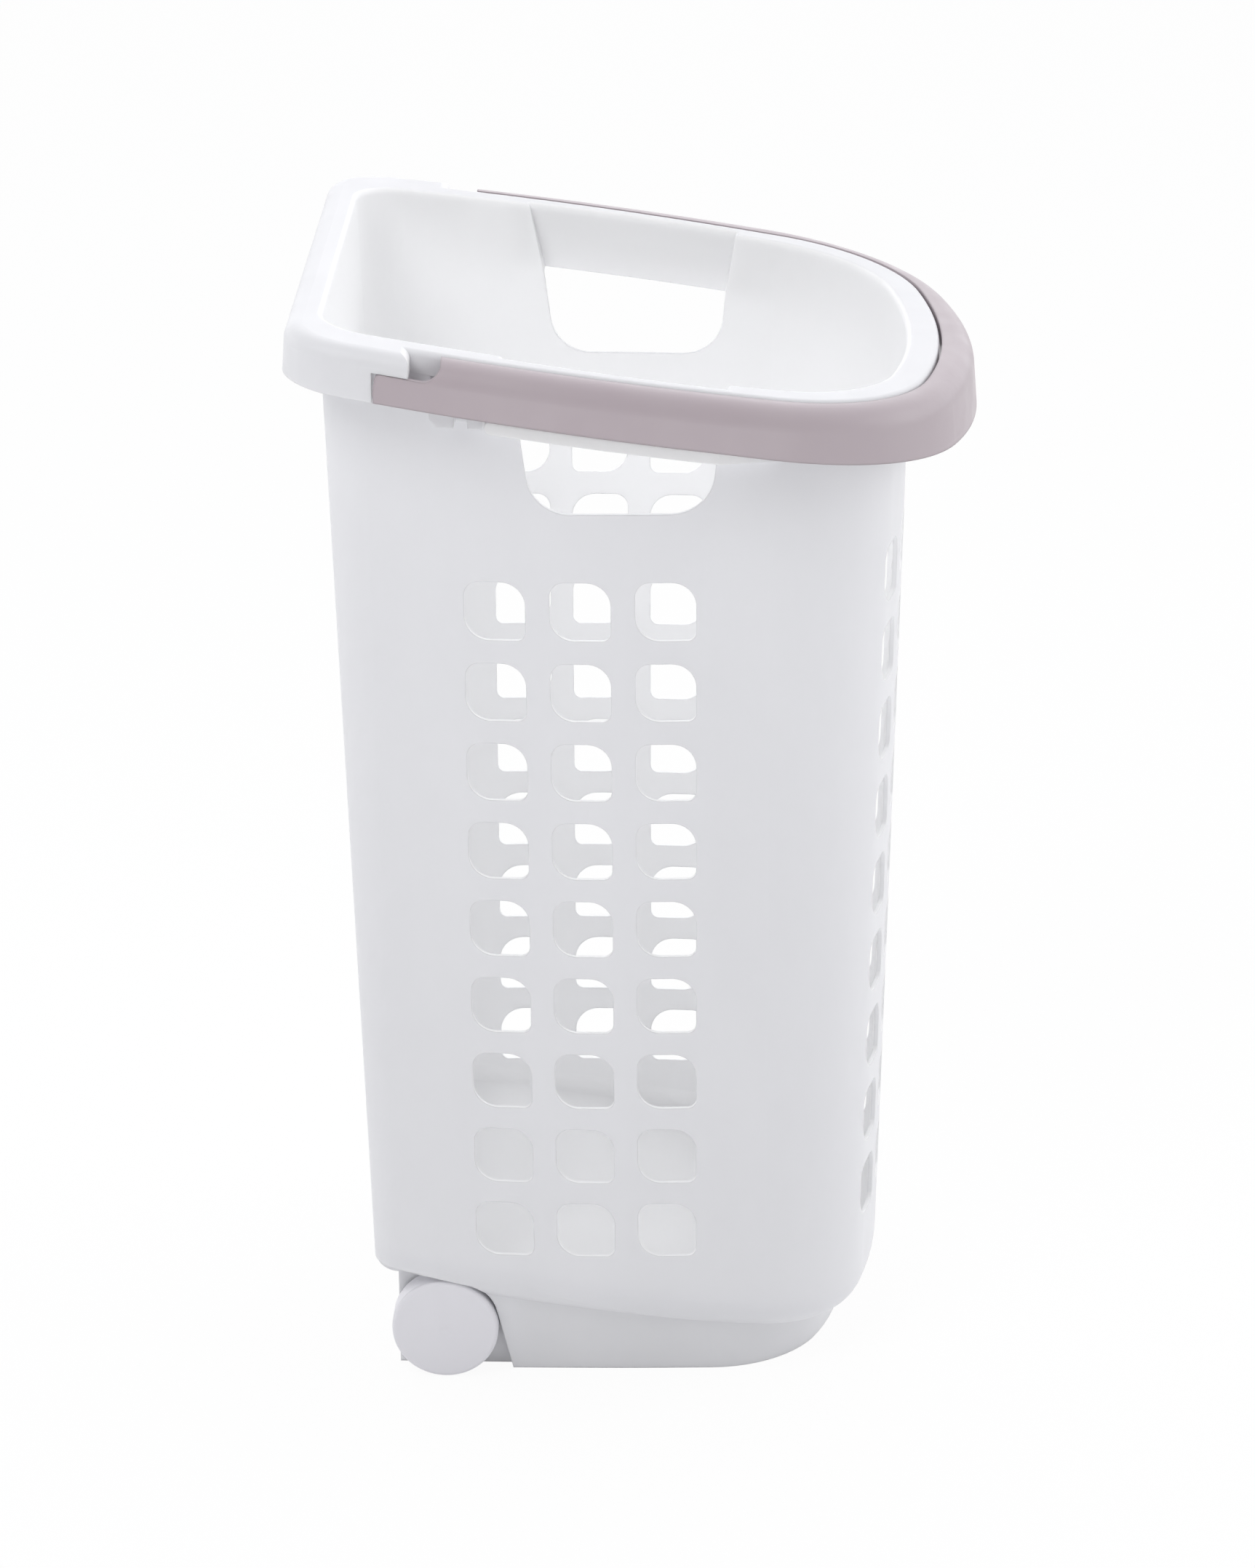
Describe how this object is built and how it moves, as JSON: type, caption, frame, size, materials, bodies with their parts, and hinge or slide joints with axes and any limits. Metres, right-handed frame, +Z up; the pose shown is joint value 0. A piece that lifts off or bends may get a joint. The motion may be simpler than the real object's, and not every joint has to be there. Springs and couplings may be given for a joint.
{
  "type": "wheeled laundry hamper",
  "caption": "Tall open laundry hamper with a flat back and rounded nose, vented moulded walls, side hand-holes, a swing-up bail handle and wheels at the back of its foot.",
  "frame": {"origin": "on the floor under the middle of the overall box", "axes": "+X towards the rounded nose with the handle's grip, -X to the flat back over the wheels, +Z up, Y across"},
  "size_m": [0.3806, 0.3614, 0.6503],
  "materials": {
    "tub_white": "satin moulded white",
    "handle_pink": "satin moulded dusty pink",
    "wheel_white": "satin moulded white",
    "axle_steel": "plain drawn rod"
  },
  "bodies": {
    "tub": {"tub": "tub_white", "axle": "axle_steel", "push_nut_left": "axle_steel", "push_nut_right": "axle_steel"},
    "handle": {"handle": "handle_pink"},
    "wheel_left": {"wheel_left": "wheel_white", "wheel_cap_left": "wheel_white"},
    "wheel_right": {"wheel_right": "wheel_white", "wheel_cap_right": "wheel_white"}
  },
  "joints": [
    {"name": "handle_swing", "type": "hinge", "parent": "tub", "child": "handle", "pos_m": [-0.0925, 0, 0.62], "axis": [0, -1, 0], "range_deg": [0, 98]},
    {"name": "wheel_left_spin", "type": "hinge", "parent": "tub", "child": "wheel_left", "pos_m": [-0.1129, -0.118, 0.0314], "axis": [0, 1, 0], "continuous": true},
    {"name": "wheel_right_spin", "type": "hinge", "parent": "tub", "child": "wheel_right", "pos_m": [-0.1129, 0.118, 0.0314], "axis": [0, 1, 0], "continuous": true}
  ]
}
